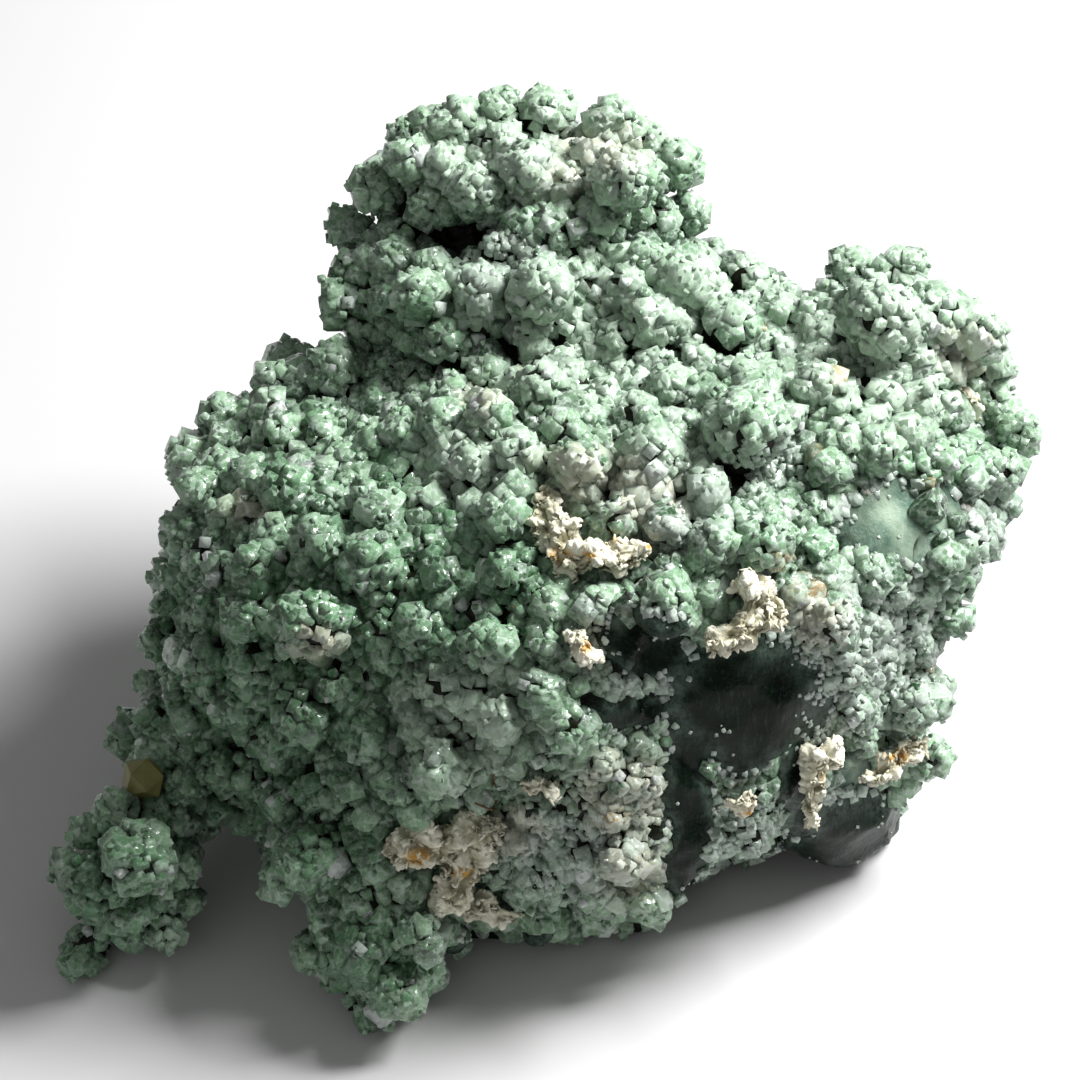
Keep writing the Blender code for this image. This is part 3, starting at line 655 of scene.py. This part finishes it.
def store(mesh, name, domain, values):
    kind = "FLOAT_VECTOR" if values.ndim == 2 else "FLOAT"
    stored = mesh.attributes.new(name, kind, domain)
    key = "vector" if values.ndim == 2 else "value"
    stored.data.foreach_set(key, np.ascontiguousarray(values, np.float32).ravel())


def face_tones_and_glints(verts, faces, ones):
    """A random number for each flat face of each crystal: it sets the face's roughness and a painted white glint on
    a few faces.
    """
    a, b, c = (verts[faces[:, i]] for i in range(3))
    normals = np.cross(b - a, c - a)
    normals /= np.linalg.norm(normals, axis=1)[:, None]
    flat = normals.round(2) @ np.array((1.0, 2.7, 7.3))
    return np.modf(np.abs(np.sin(ones[:, None] * 12.99 + flat * 78.23) * 43758.5))[0].ravel()


def crystals(name, grown, chosen):
    """Many crystals as one mesh. Their points carry each crystal's own numbers."""
    points, triangles, locals_, owners, tones = [], [], [], [], []
    first = 0
    for kind, (verts, faces) in enumerate(SHAPES):
        ones = chosen[grown["kind"][chosen] == kind]
        local = np.broadcast_to(verts, (len(ones), *verts.shape))
        spots = np.einsum("nij,nvj->nvi", grown["turn"][ones], local * grown["sizes"][ones][:, None, :])
        points.append((spots + grown["centre"][ones][:, None]).reshape(-1, 3))
        steps = np.arange(len(ones)) * len(verts)
        triangles.append((faces[None] + steps[:, None, None]).reshape(-1, 3) + first)
        locals_.append(local.reshape(-1, 3))
        tones.append(face_tones_and_glints(verts, faces, ones))
        owners.append(np.repeat(ones, len(verts)))
        first += len(points[-1])
    points, owners = np.vstack(points), np.concatenate(owners)
    obj = triangles_object(name, points, np.vstack(triangles))
    store(obj.data, "local", "POINT", np.vstack(locals_))
    store(obj.data, "face", "FACE", np.concatenate(tones))
    store(obj.data, "out", "POINT", grown["out"][owners])
    offset = points - grown["place"][owners]
    rise = np.einsum("ij,ij->i", offset, grown["normal"][owners]) / grown["half"][owners]
    store(obj.data, "rise", "POINT", rise)
    for key in ("tone", "open", "white", *TINTS):
        store(obj.data, key, "POINT", grown[key][owners])
    return obj


def openness(tree, places, normals, rng, rays=14, reach=12 * MM):
    """How open each place is: 1 in the open, 0 deep in a crevice. It keeps crystals out of crevices and sets the
    painted crevice shade of the crystal colour.
    """
    directions = rng.normal(size=(rays, 3))
    directions /= np.linalg.norm(directions, axis=1)[:, None]
    result = np.empty(len(places))
    for index, (place, normal) in enumerate(zip(places, normals)):
        start = Vector(place + normal * 1.2 * MM)
        flipped = np.where((directions @ normal)[:, None] < 0, -directions, directions)
        clear = 0.0
        for direction in flipped:
            distance = tree.ray_cast(start, Vector(direction), reach)[3]
            clear += 1.0 if distance is None else (distance / reach) * 0.6
        result[index] = clear / rays
    return result


def plate(rng):
    """A thin jagged flake, 1 across and 1 thick."""
    corners = []
    for index in range(FLAKE_CORNERS):
        angle = math.tau * (index + rng.uniform(-0.3, 0.3)) / FLAKE_CORNERS
        reach = rng.uniform(0.65, 1.15)
        for side in (-1, 1):
            corners.append((math.cos(angle) * reach, math.sin(angle) * reach, side * rng.uniform(0.5, 1.0)))
    return hull_of(corners)


def crust_piece(node, rng):
    """A crust's detailed form: a crumbly core under layers of thin flakes."""
    core = link(bpy.data.objects.new("core", node.data.copy()))
    remesh(core, CRUST_VOXEL, 2)
    points, triangles = points_of(core), triangles_of(core)
    normals = np.empty(len(points) * 3, np.float32)
    core.data.vertices.foreach_get("normal", normals)
    normals = normals.reshape(-1, 3)
    crumble = np.array([
        noise.turbulence(Vector(point) / CRUMB, 5, True, amplitude_scale=0.5) - CRUMB_BASE
        for point in points])
    points += normals * (crumble * CRUMB_HEIGHT)[:, None]
    core.data.vertices.foreach_set("co", np.ascontiguousarray(points, np.float32).ravel())
    area = sum(face.area for face in core.data.polygons) / MM ** 2
    places, ways = scatter(core, int(area * CRUST_FLAKES), rng)
    kinds = rng.integers(FLAKE_KINDS, size=len(places))
    flat = np.stack([rng.uniform(*span, len(places)) for span in FLAKE_SIZE], axis=1) * MM
    lean = ways + rng.normal(0, FLAKE_LEAN, (len(places), 3))
    turns = np.array([Vector(way).to_track_quat("Z", "Y").to_matrix() for way in lean])
    about = np.array([Matrix.Rotation(angle, 3, "Z") for angle in rng.uniform(0, math.tau, len(places))])
    out = rng.uniform(*FLAKE_OUT, len(places)) * MM
    tones = rng.random(len(places))
    all_points, all_faces = [points], [triangles]
    raised, tone = [np.clip(crumble * 1.8 + 1.0, 0, 1)], [np.full(len(points), 0.5)]
    first = len(points)
    for kind in range(FLAKE_KINDS):
        verts, faces = plate(rng)
        ones = np.where(kinds == kind)[0]
        spots = np.einsum("nij,nvj->nvi", (turns @ about)[ones], verts[None] * flat[ones][:, None])
        spots += (places[ones] + ways[ones] * out[ones][:, None])[:, None]
        all_points.append(spots.reshape(-1, 3))
        all_faces.append((faces[None] + (np.arange(len(ones)) * len(verts))[:, None, None]).reshape(-1, 3) + first)
        raised.append(np.repeat(np.clip(out[ones] / MM + 0.8, 0, 1), len(verts)))
        tone.append(np.repeat(tones[ones], len(verts)))
        first += spots.shape[0] * spots.shape[1]
    bpy.data.objects.remove(core)
    piece = triangles_object(node.name + "_flakes", np.vstack(all_points), np.vstack(all_faces))
    points = points_of(piece)
    normals = np.empty(len(points) * 3, np.float32)
    piece.data.vertices.foreach_get("normal", normals)
    across, up = display_places(points)
    # raised sets painted shade in the crust's hollows, under sets painted shade on its undersides.
    store(piece.data, "raised", "POINT", np.concatenate(raised))
    store(piece.data, "tone", "POINT", np.concatenate(tone))
    store(piece.data, "stain", "POINT", inside(points, across, up, CRUST_STAINS))
    store(piece.data, "under", "POINT", np.clip(-normals[2::3] * 1.4 - 0.2, 0, 1))
    return piece


def grains(name, tree, spots, rng):
    """Small dark grains on the crystals, as one piece."""
    points, faces, first = [], [], 0
    for across, up, size in spots:
        aim = (sight_point(across, up) - EYE).normalized()
        hit, normal, _, _ = tree.ray_cast(EYE, aim)
        if hit is None:
            continue
        verts, triangles = plate(rng)
        turn = np.array(normal.to_track_quat("Z", "Y").to_matrix())
        points.append((verts * (size, size * 0.7, size * 0.35) * MM) @ turn.T + np.array(hit))
        faces.append(triangles + first)
        first += len(verts)
    return triangles_object(name, np.vstack(points), np.vstack(faces))


def fibre(name, tree, path, radius, rise):
    """A dried plant fibre that lies on the crystals."""
    spots = []
    for across, up in path:
        aim = (sight_point(across, up) - EYE).normalized()
        hit = tree.ray_cast(EYE, aim)[0] or sight_point(across, up)
        spots.append(hit + TOWARD * rise * MM)
    curve = bpy.data.curves.new(name, "CURVE")
    curve.dimensions = "3D"
    curve.bevel_depth = radius * MM
    curve.bevel_resolution = 2
    curve.use_fill_caps = True
    spline = curve.splines.new("BEZIER")
    spline.bezier_points.add(len(spots) - 1)
    for knot, spot in zip(spline.bezier_points, spots):
        knot.co = spot
        knot.handle_left_type = knot.handle_right_type = "AUTO"
    strand = link(bpy.data.objects.new(name, curve))
    mesh = bpy.data.meshes.new_from_object(strand)
    bpy.data.objects.remove(strand)
    return link(bpy.data.objects.new(name, mesh))


# ---- materials

class Nodes:
    """Short words for building a node tree."""

    def __init__(self, name):
        self.material = bpy.data.materials.new(name)
        self.material.use_nodes = True
        self.tree = self.material.node_tree
        self.shader = self.tree.nodes["Principled BSDF"]

    def add(self, kind, **settings):
        node = self.tree.nodes.new(kind)
        for key, value in settings.items():
            setattr(node, key, value)
        return node

    def wire(self, target, value):
        if isinstance(value, bpy.types.NodeSocket):
            self.tree.links.new(value, target)
        elif isinstance(value, (tuple, list)) and len(value) == 3 and target.type == "RGBA":
            target.default_value = (*linear(value), 1.0)
        else:
            target.default_value = value

    def attribute(self, name, socket="Fac"):
        return self.add("ShaderNodeAttribute", attribute_name=name).outputs[socket]

    def position(self):
        return self.add("ShaderNodeTexCoord").outputs["Object"]

    def noise(self, scale, detail=3.0, rough=0.5, vector=None, dims="3D", out="Fac"):
        node = self.add("ShaderNodeTexNoise", noise_dimensions=dims)
        self.wire(node.inputs["Vector"], vector or self.position())
        node.inputs["Scale"].default_value = scale
        node.inputs["Detail"].default_value = detail
        node.inputs["Roughness"].default_value = rough
        return node.outputs[out]

    def math(self, operation, a, b=0.0, clamp=False):
        node = self.add("ShaderNodeMath", operation=operation, use_clamp=clamp)
        self.wire(node.inputs[0], a)
        self.wire(node.inputs[1], b)
        return node.outputs[0]

    def ramp(self, value, low, high, start=0.0, end=1.0):
        node = self.add("ShaderNodeMapRange", clamp=True)
        for key, item in zip(("Value", "From Min", "From Max", "To Min", "To Max"),
                             (value, low, high, start, end)):
            self.wire(node.inputs[key], item)
        return node.outputs["Result"]

    def mix(self, factor, a, b, blend="MIX"):
        node = self.add("ShaderNodeMix", data_type="RGBA", blend_type=blend)
        self.wire(node.inputs["Factor"], factor)
        self.wire(node.inputs[6], a)
        self.wire(node.inputs[7], b)
        return node.outputs[2]

    def bump(self, height, distance, strength=1.0, normal=None):
        node = self.add("ShaderNodeBump")
        self.wire(node.inputs["Height"], height)
        node.inputs["Distance"].default_value = distance
        node.inputs["Strength"].default_value = strength
        if normal:
            self.wire(node.inputs["Normal"], normal)
        return node.outputs["Normal"]

    def set(self, **inputs):
        for key, value in inputs.items():
            self.wire(self.shader.inputs[key.replace("_", " ")], value)


def crystal_material():
    n = Nodes("frosted_fluorite")
    tone = n.attribute("tone")
    face = n.attribute("face")
    # Painted shade: the crystal colour turns from pale to deep green towards each crystal's base and in crevices, by
    # the rise and openness ramps.
    rise = n.ramp(n.attribute("rise"), -0.4, 0.9, 0.45, 1.0)
    painted_openness_shade = n.math("MULTIPLY", n.ramp(n.attribute("open"), 0.52, 0.9), rise)
    pale = n.mix(tone, (0.49, 0.69, 0.50), (0.70, 0.83, 0.69))
    deep = n.mix(tone, (0.07, 0.24, 0.09), (0.18, 0.38, 0.20))
    body = n.mix(painted_openness_shade, deep, pale)
    # Painted shade, partly the deeper green of the stone: in the deep zones a darker green, darker still towards
    # each crystal's base.
    shade = n.mix(n.ramp(n.attribute("rise"), -0.3, 1.0), (0.06, 0.24, 0.09), (0.28, 0.50, 0.31))
    body = n.mix(n.math("MULTIPLY", n.attribute("deep"), 0.8), body, shade)
    # Painted light, partly paler frost: the pale zones lie on the lit upper and right side.
    body = n.mix(n.math("MULTIPLY", n.attribute("pale"), 0.7), body, (0.83, 0.91, 0.82))
    body = n.mix(n.math("MULTIPLY", n.attribute("grey"), 0.7), body, (0.70, 0.73, 0.71))
    body = n.mix(n.math("MULTIPLY", n.attribute("warm"), 0.65), body, (0.92, 0.88, 0.80))
    plain = body
    cloud = n.noise(900.0, 3.0, 0.65)
    stain = n.math("MULTIPLY", n.attribute("ochre"), n.ramp(cloud, 0.42, 0.56))
    body = n.mix(stain, body, (0.76, 0.56, 0.24))
    body = n.mix(n.ramp(cloud, 0.48, 0.7, 0.0, 0.35), body, (0.76, 0.85, 0.77))
    body = n.mix(n.ramp(n.noise(130.0, 2.0, 0.6), 0.5, 0.75, 0.0, 0.3), body, (0.62, 0.67, 0.60))
    # each crystal is cut by finer facets, under a millimetre across
    facets = n.add("ShaderNodeTexVoronoi")
    n.wire(facets.inputs["Vector"], n.position())
    facets.inputs["Scale"].default_value = 1000.0
    shares = n.add("ShaderNodeSeparateColor")
    n.wire(shares.inputs[0], facets.outputs["Color"])
    body = n.mix(n.ramp(shares.outputs[0], 0.6, 1.0, 0.0, 0.35), body, (0.86, 0.92, 0.87))
    body = n.mix(n.ramp(shares.outputs[1], 0.6, 1.0, 0.0, 0.2), body, (0.20, 0.40, 0.25))
    body = n.mix(n.ramp(facets.outputs["Distance"], 0.5, 0.8, 0.0, 0.45), body, (0.88, 0.94, 0.90))
    # Painted glints: fine white specks.
    body = n.mix(n.ramp(n.noise(2600.0, 1.0, 0.5), 0.62, 0.7, 0.0, 0.6), body, (0.92, 0.95, 0.93))
    # Painted glints: a few faces turn nearly white.
    body = n.mix(n.ramp(face, 0.93, 0.97, 0.0, 0.45), body, (0.88, 0.92, 0.89))
    # In the deep zones of painted shade, the frost, specks and glints mostly give way to the plain colour.
    body = n.mix(n.math("MULTIPLY", n.attribute("deep"), 0.55), body, plain)
    # Painted glints on a few whole crystals, and the whitish small crystals on the bare glass.
    body = n.mix(n.attribute("white"), body, (0.88, 0.90, 0.89))
    facet = n.add("ShaderNodeNewGeometry").outputs["Normal"]
    blend = n.add("ShaderNodeMix", data_type="VECTOR")
    blend.inputs["Factor"].default_value = 0.35
    n.wire(blend.inputs[4], facet)
    n.wire(blend.inputs[5], n.attribute("out", "Vector"))
    tilt = n.add("ShaderNodeVectorMath", operation="MULTIPLY_ADD")
    n.wire(tilt.inputs[0], facets.outputs["Color"])
    tilt.inputs[1].default_value = (0.64, 0.64, 0.64)
    tilt.inputs[2].default_value = (-0.32, -0.32, -0.32)
    tilted = n.add("ShaderNodeVectorMath", operation="ADD")
    n.wire(tilted.inputs[0], blend.outputs[1])
    n.wire(tilted.inputs[1], tilt.outputs[0])
    cut = n.add("ShaderNodeVectorMath", operation="NORMALIZE")
    n.wire(cut.inputs[0], tilted.outputs[0])
    n.set(Base_Color=body, Roughness=n.ramp(face, 0.0, 1.0, 0.5, 0.3), IOR=1.434,
          Transmission_Weight=0.3, Normal=cut.outputs[0],
          Coat_Weight=0.5, Coat_IOR=1.434, Coat_Roughness=0.05, Coat_Normal=cut.outputs[0],
          Sheen_Weight=0.08, Sheen_Roughness=0.4)
    n.shader.inputs["Specular IOR Level"].default_value = 0.2
    return n.material


def body_material():
    n = Nodes("massive_fluorite")
    cloud = n.noise(160.0, 5.0, 0.65)
    streak = n.add("ShaderNodeMapping")
    n.wire(streak.inputs["Vector"], n.position())
    streak.inputs["Scale"].default_value = (1.0, 1.0, 0.1)
    streaks = n.noise(1500.0, 4.0, 0.7, streak.outputs[0])
    body = n.mix(n.ramp(cloud, 0.35, 0.7), (0.01, 0.045, 0.02), (0.05, 0.13, 0.075))
    body = n.mix(n.ramp(streaks, 0.56, 0.78, 0.0, 0.45), body, (0.25, 0.35, 0.28))
    body = n.mix(n.ramp(n.noise(90.0, 6.0, 0.7), 0.6, 0.78, 0.0, 0.3), body, (0.15, 0.21, 0.17))
    window = n.mix(n.ramp(cloud, 0.35, 0.65), (0.34, 0.46, 0.40), (0.62, 0.69, 0.61))
    veil = n.math("MULTIPLY", n.attribute("rim"), n.ramp(n.noise(350.0, 5.0, 0.75), 0.38, 0.62))
    body = n.mix(veil, body, (0.42, 0.50, 0.45))
    body = n.mix(n.attribute("window"), body, window)
    # Painted shade: the skin between the crystals is darkened to brown-black.
    body = n.mix(n.attribute("gap"), body, (0.11, 0.10, 0.05))
    relief = n.bump(streaks, 0.0003, 0.6)
    n.set(Base_Color=body, Roughness=n.ramp(cloud, 0.3, 0.7, 0.1, 0.25), IOR=1.434, Transmission_Weight=0.1,
          Normal=n.bump(cloud, 0.0008, 0.35, relief))
    n.shader.inputs["Specular IOR Level"].default_value = 0.13
    return n.material


def crust_material():
    n = Nodes("flaky_crust")
    cloud = n.noise(420.0, 4.0, 0.65)
    tone = n.attribute("tone")
    # Painted shade, partly brownish pits: the sunken crumbs and flakes are darker and greyer.
    hollow_shade_and_pits = n.mix(n.ramp(cloud, 0.35, 0.65), (0.56, 0.54, 0.42), (0.82, 0.80, 0.68))
    chalk = n.mix(tone, (0.95, 0.94, 0.85), (0.99, 0.98, 0.92))
    body = n.mix(n.attribute("raised"), hollow_shade_and_pits, chalk)
    body = n.mix(n.ramp(n.noise(160.0, 3.0, 0.6), 0.5, 0.7, 0.0, 0.35), body, (0.64, 0.64, 0.56))
    rust = n.math("MULTIPLY", n.attribute("stain"), n.ramp(n.noise(600.0, 3.0, 0.6), 0.42, 0.55))
    body = n.mix(rust, body, (0.78, 0.60, 0.30))
    # Painted shade: undersides darken towards brown.
    body = n.mix(n.math("MULTIPLY", n.attribute("under"), 0.8), body, (0.30, 0.25, 0.17))
    n.set(Base_Color=body, Roughness=0.95, Normal=n.bump(n.noise(2400.0, 3.0, 0.7), 0.0003, 0.7))
    n.shader.inputs["Specular IOR Level"].default_value = 0.1
    return n.material


def grain_material():
    n = Nodes("dried_plant")
    n.set(Base_Color=n.mix(n.noise(500.0, 3.0, 0.6), (0.20, 0.13, 0.07), (0.48, 0.34, 0.17)), Roughness=0.8,
          Normal=n.bump(n.noise(3000.0, 2.0, 0.6), 0.0001, 0.5))
    return n.material


def honey_material():
    n = Nodes("honey_fluorite")
    cloud = n.noise(500.0, 3.0, 0.5)
    n.set(Base_Color=n.mix(cloud, (0.45, 0.44, 0.25), (0.66, 0.64, 0.40)), Roughness=0.4, IOR=1.434,
          Transmission_Weight=0.3)
    return n.material


def dress(obj, surface):
    obj.data.materials.clear()
    obj.data.materials.append(surface)


# ---- build

rng = np.random.default_rng(SEED)
noise.seed_set(SEED)

rock = melted_rock()
nodules = nodule_list(rock, rng)
body = growth_surface(rock, nodules)
bpy.data.objects.remove(rock)
print("nodules", len(nodules), "body", len(triangles_of(body)))
dress(body, body_material())
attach(body, "root")
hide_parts("fluorite_cluster")

def grow(name, surface, habit, near, glint_share):
    """One generation of crystals on a surface, as pieces of joined crystals."""
    places, normals, halves, bare = crystal_places(surface, habit, near, rng)
    open_values = openness(skin_tree, places, normals, rng)
    keep = open_values > CREVICE
    places, normals, halves, bare, open_values = (
        values[keep] for values in (places, normals, halves, bare, open_values))
    count = len(places)
    homes = np.array([nodule_tree.find(place)[1] for place in places])
    outward = places - np.array([nodules[home][0] for home in homes])
    outward /= np.linalg.norm(outward, axis=1)[:, None]
    outward = outward * 0.5 + normals
    outward /= np.linalg.norm(outward, axis=1)[:, None]
    lean = rng.normal(0, 0.18, (count, 3))
    small = np.zeros((count, 3, 3))
    small[:, 0, 1], small[:, 1, 0] = -lean[:, 2], lean[:, 2]
    small[:, 0, 2], small[:, 2, 0] = lean[:, 1], -lean[:, 1]
    small[:, 1, 2], small[:, 2, 1] = -lean[:, 0], lean[:, 0]
    tilted = np.linalg.qr(nodule_turns[homes] @ (small + np.eye(3)))[0]
    tilted *= np.sign(np.linalg.det(tilted))[:, None, None]
    turns = np.where(coherent[homes][:, None, None], tilted, random_turns(count, rng))
    kinds = rng.choice(len(SHAPES), count, p=habit["shares"])
    sizes = halves[:, None] * rng.uniform(0.82, 1.18, (count, 3)) * SHAPE_GROWTH[kinds][:, None]
    across, up = display_places(places)
    facing = normals @ np.array(TOWARD) > -0.2
    glints_and_whites = np.where(rng.random(count) < glint_share, 0.8, 0.0) + 0.5 * bare
    rises = np.full(count, float(habit["out"]))
    # The listed cubes stand out and get a painted white glint.
    for place_x, place_y, half in GLINT_CUBES if name == "crystals" else ():
        close = np.where(np.hypot(across - place_x, up - place_y) < 2.0)[0]
        if len(close):
            front = close[np.argmax(places[close] @ np.array(TOWARD))]
            kinds[front], glints_and_whites[front], rises[front] = 0, 0.65, 0.7
            sizes[front] = 0.85 * half * MM
            halves[front] = half * MM
    grown = {
        "place": places, "normal": normals, "half": halves, "turn": turns, "kind": kinds,
        "sizes": sizes, "out": outward, "open": open_values,
        "centre": inside_box(places + normals * (halves * rises)[:, None], halves * CORNER_REACH),
        "tone": np.clip(0.6 * nodule_tones[homes] + 0.4 * rng.random(count), 0, 1),
        "white": glints_and_whites,
    }
    for tint, zones in TINTS.items():
        inside_zone = inside(places, across, up, zones) * facing
        grown[tint] = np.clip(inside_zone * rng.uniform(0.5, 1.3, count), 0, 1)
    costs = np.array([len(faces) for _, faces in SHAPES])[kinds]
    order = np.argsort(places[:, 0])
    parts = math.ceil(costs.sum() / LARGEST_PIECE)
    part_of = (np.cumsum(costs[order]) - 1) * parts // costs.sum()
    pieces = []
    for part in range(parts):
        piece = crystals(f"{name}_{part + 1}", grown, order[part_of == part])
        dress(piece, frost)
        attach(piece, "root")
        pieces.append(piece)
        print(piece.name, len(triangles_of(piece)))
    print(name, count)
    return pieces


frost = crystal_material()
skin_tree = search_tree(body)
nodule_tree = kdtree.KDTree(len(nodules))
for index, (centre, _) in enumerate(nodules):
    nodule_tree.insert(centre, index)
nodule_tree.balance()
nodule_tones = rng.random(len(nodules))
nodule_turns = random_turns(len(nodules), rng)
coherent = rng.random(len(nodules)) < 0.5
taken = Spacing(4 * MM)
for place, reach in crust_spots():
    taken.add(place, reach)
lumps = grow("crystals", body, LUMPS, taken, 0.004)
fine_taken = Spacing(3 * MM)
for place, reach in crust_spots():
    fine_taken.add(place, reach)
for lump in lumps:
    grow("fine_" + lump.name, lump, {**FINE, "tries": FINE["tries"] // len(lumps)}, fine_taken, 0.04)

white = crust_material()
for name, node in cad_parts.items():
    if name.startswith("white_crust"):
        piece = crust_piece(node, rng)
        dress(piece, white)
        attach(piece, "root")
        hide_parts(name)
        print(piece.name, len(triangles_of(piece)))
dress(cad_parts["yellow_crystal"], honey_material())

joined_points, joined_faces, first = [], [], 0
for lump in lumps:
    joined_points.append(points_of(lump))
    joined_faces.append(triangles_of(lump) + first)
    first += len(joined_points[-1])
outer_tree = BVHTree.FromPolygons(np.vstack(joined_points).tolist(), np.vstack(joined_faces).tolist())
spots = [(*rng.uniform((-80, -70), (84, 70)), rng.uniform(*SPECK_SIZE)) for _ in range(SPECKS)]
for middle_x, middle_y, spread, count in SPECK_GROUPS:
    spots += [(*rng.normal((middle_x, middle_y), spread), rng.uniform(*SPECK_SIZE)) for _ in range(count)]
brown = grain_material()
strands = [grains("dark_specks", outer_tree, spots, rng)]
for number, (path, radius, rise) in enumerate(FIBRES):
    strands.append(fibre(f"fibre_{number + 1}", outer_tree, path, radius, rise))
for strand in strands:
    dress(strand, brown)
    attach(strand, "root")

# ---- floor, light and camera

floor = mesh_object("floor", [(-3, -3, 0), (3, -3, 0), (3, 3, 0), (-3, 3, 0)], [(0, 1, 2, 3)])
pale = Nodes("pale_floor")
pale.set(Base_Color=(0.80, 0.80, 0.80), Roughness=0.9)
dress(floor, pale.material)


def soft_light(name, place, target, size, power, colour=(1, 1, 1)):
    data = bpy.data.lights.new(name, "AREA")
    data.shape = "SQUARE"
    data.size = size
    data.energy = power
    data.color = colour
    lamp = link(bpy.data.objects.new(name, data))
    lamp.location = place
    lamp.rotation_euler = (Vector(target) - Vector(place)).to_track_quat("-Z", "Y").to_euler()
    return lamp


soft_light("key_light", (0.45, 0.17, 0.62), (0.0, 0.0, 0.05), 0.3, 13.6)
soft_light("fill_light", (-0.8, -0.9, 0.7), (0.0, 0.0, 0.05), 1.2, 1.5)

world = bpy.data.worlds.new("studio")
bpy.context.scene.world = world
world.use_nodes = True
world.node_tree.nodes["Background"].inputs["Color"].default_value = (1.0, 1.0, 1.0, 1.0)
world.node_tree.nodes["Background"].inputs["Strength"].default_value = 0.2

lens = bpy.data.cameras.new("camera")
lens.sensor_width = SENSOR
lens.lens = SENSOR * EYE_DISTANCE / VIEW_WIDTH
lens.clip_start = 0.01
camera = link(bpy.data.objects.new("camera", lens))
camera.location = EYE
camera.rotation_euler = (-TOWARD).to_track_quat("-Z", "Y").to_euler()
bpy.context.scene.camera = camera
bpy.context.scene.view_settings.view_transform = "Standard"
cycles = bpy.context.scene.cycles
cycles.max_bounces = 4
cycles.diffuse_bounces = cycles.glossy_bounces = 2
cycles.transmission_bounces = 2
cycles.caustics_reflective = cycles.caustics_refractive = False
